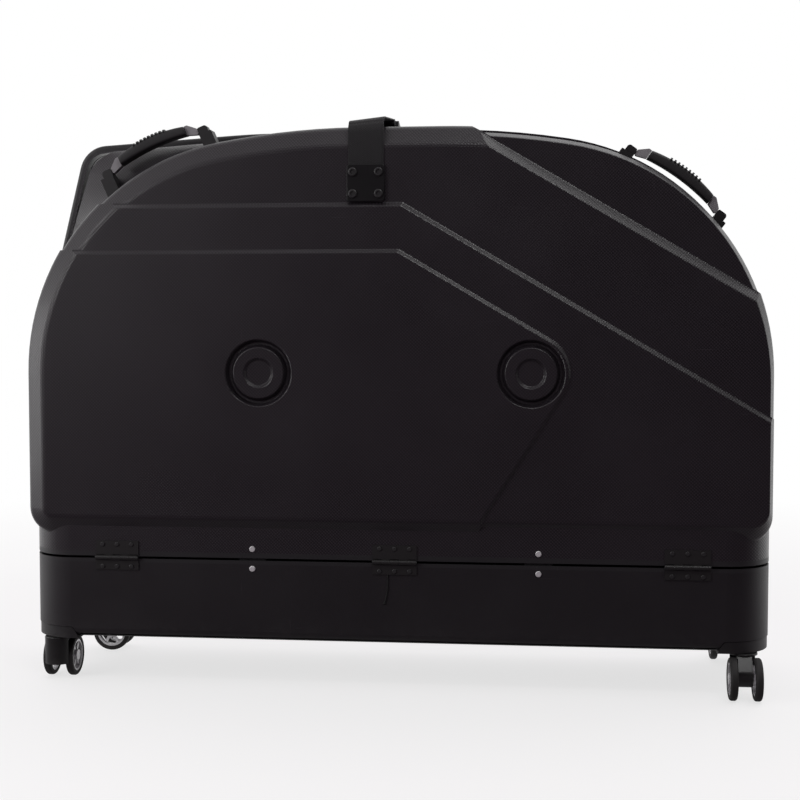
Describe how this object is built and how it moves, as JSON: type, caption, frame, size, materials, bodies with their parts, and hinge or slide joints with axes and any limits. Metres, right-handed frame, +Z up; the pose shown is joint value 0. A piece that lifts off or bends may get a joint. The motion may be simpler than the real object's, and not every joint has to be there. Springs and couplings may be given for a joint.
{
  "type": "bicycle travel case",
  "caption": "Hard-shell bicycle travel case: arched stepped shell hinged on a low tray with swivel casters, folding carry handles and a closing strap with buckle.",
  "frame": {"origin": "on the floor, under the middle of the case", "axes": "+X along the case's length, to the right as seen from the hinged front cover; +Y from the front cover to the fixed rear shell; +Z up"},
  "size_m": [1.203, 0.345, 0.9284],
  "materials": {
    "shell": "satin black thermoformed sheet with a fine diamond weave emboss",
    "tray": "satin black moulded plastic",
    "edging": "black extruded edge moulding",
    "seal": "black rubber",
    "trim": "black anodised edge channel",
    "liner": "dark grey fabric over foam",
    "pad": "dark grey fabric over foam",
    "hinge_metal": "black coated steel",
    "pin_steel": "plain steel",
    "screw_metal": "black coated screw heads",
    "rivet_metal": "bright domed rivet",
    "joint_strip": "mill finish",
    "webbing": "black woven webbing",
    "grip": "black soft grip with worn ribs",
    "handle_end": "grey moulded plastic",
    "bracket": "black moulded plastic",
    "strap_plate": "black coated plate",
    "buckle": "black moulded plastic",
    "cord": "thin black cord",
    "housing": "black moulded plastic",
    "fork": "black moulded plastic",
    "wheel_rim": "bright plated",
    "wheel_tyre": "black rubber tread"
  },
  "bodies": {
    "case_base": {"rear_shell": "shell", "base_tray": "tray", "rear_edging": "edging", "parting_seal": "seal", "rear_shell_trim": "trim", "tray_trim": "trim", "rear_liner": "liner", "tray_pad": "pad", "hinge_lower_leaf_left": "hinge_metal", "hinge_pin_left": "pin_steel", "hinge_lower_leaf_middle": "hinge_metal", "hinge_pin_middle": "pin_steel", "hinge_lower_leaf_right": "hinge_metal", "hinge_pin_right": "pin_steel", "hinge_lower_screws": "screw_metal", "lower_rivets": "rivet_metal", "rear_joint_rivets": "rivet_metal", "rear_joint_strip": "joint_strip", "rear_strap": "webbing", "rear_strap_plate": "strap_plate", "rear_strap_screws": "screw_metal", "buckle_socket": "buckle", "tie_cord": "cord", "caster_housing_front_left": "housing", "caster_housing_front_right": "housing", "caster_housing_rear_left": "housing", "caster_housing_rear_right": "housing"},
    "front_cover": {"front_shell": "shell", "front_shell_trim": "trim", "front_edging": "edging", "front_liner": "liner", "hinge_upper_leaf_left": "hinge_metal", "hinge_upper_leaf_middle": "hinge_metal", "hinge_upper_leaf_right": "hinge_metal", "hinge_upper_screws": "screw_metal", "upper_rivets": "rivet_metal", "web_strip_left": "webbing", "web_strip_right": "webbing", "front_strap": "webbing", "front_strap_plate": "strap_plate", "front_strap_screws": "screw_metal", "buckle_tongue": "buckle", "handle_brackets_left": "bracket", "handle_brackets_right": "bracket"},
    "handle_left": {"handle_grip_left": "grip", "handle_ends_left": "handle_end"},
    "handle_right": {"handle_grip_right": "grip", "handle_ends_right": "handle_end"},
    "caster_swivel_front_left": {"caster_fork_front_left": "fork"},
    "caster_wheels_front_left": {"caster_rims_front_left": "wheel_rim", "caster_tyres_front_left": "wheel_tyre"},
    "caster_swivel_front_right": {"caster_fork_front_right": "fork"},
    "caster_wheels_front_right": {"caster_rims_front_right": "wheel_rim", "caster_tyres_front_right": "wheel_tyre"},
    "caster_swivel_rear_left": {"caster_fork_rear_left": "fork"},
    "caster_wheels_rear_left": {"caster_rims_rear_left": "wheel_rim", "caster_tyres_rear_left": "wheel_tyre"},
    "caster_swivel_rear_right": {"caster_fork_rear_right": "fork"},
    "caster_wheels_rear_right": {"caster_rims_rear_right": "wheel_rim", "caster_tyres_rear_right": "wheel_tyre"}
  },
  "joints": [
    {"name": "cover_hinge", "type": "hinge", "parent": "case_base", "child": "front_cover", "pos_m": [0, -0.1441, 0.208], "axis": [1, 0, 0], "range_deg": [0, 100], "deforming": ["web_strip_left", "web_strip_right"]},
    {"name": "handle_left_fold", "type": "hinge", "parent": "front_cover", "child": "handle_left", "pos_m": [-0.3958, -0.072, 0.8699], "axis": [0.9178, 0, 0.3971], "range_deg": [-25, 60]},
    {"name": "handle_right_fold", "type": "hinge", "parent": "front_cover", "child": "handle_right", "pos_m": [0.4485, -0.072, 0.8115], "axis": [0.8028, 0, -0.5962], "range_deg": [-30, 45]},
    {"name": "caster_front_left_swivel", "type": "hinge", "parent": "case_base", "child": "caster_swivel_front_left", "pos_m": [-0.557, -0.114, 0.0715], "axis": [0, 0, 1], "continuous": true},
    {"name": "caster_front_left_roll", "type": "hinge", "parent": "caster_swivel_front_left", "child": "caster_wheels_front_left", "pos_m": [-0.557, -0.089, 0.0335], "axis": [1, 0, 0], "continuous": true},
    {"name": "caster_front_right_swivel", "type": "hinge", "parent": "case_base", "child": "caster_swivel_front_right", "pos_m": [0.557, -0.114, 0.0715], "axis": [0, 0, 1], "continuous": true},
    {"name": "caster_front_right_roll", "type": "hinge", "parent": "caster_swivel_front_right", "child": "caster_wheels_front_right", "pos_m": [0.557, -0.139, 0.0335], "axis": [1, 0, 0], "continuous": true},
    {"name": "caster_rear_left_swivel", "type": "hinge", "parent": "case_base", "child": "caster_swivel_rear_left", "pos_m": [-0.557, 0.114, 0.0715], "axis": [0, 0, 1], "continuous": true},
    {"name": "caster_rear_left_roll", "type": "hinge", "parent": "caster_swivel_rear_left", "child": "caster_wheels_rear_left", "pos_m": [-0.532, 0.114, 0.0335], "axis": [0, 1, 0], "continuous": true},
    {"name": "caster_rear_right_swivel", "type": "hinge", "parent": "case_base", "child": "caster_swivel_rear_right", "pos_m": [0.557, 0.114, 0.0715], "axis": [0, 0, 1], "continuous": true},
    {"name": "caster_rear_right_roll", "type": "hinge", "parent": "caster_swivel_rear_right", "child": "caster_wheels_rear_right", "pos_m": [0.557, 0.139, 0.0335], "axis": [1, 0, 0], "continuous": true}
  ]
}
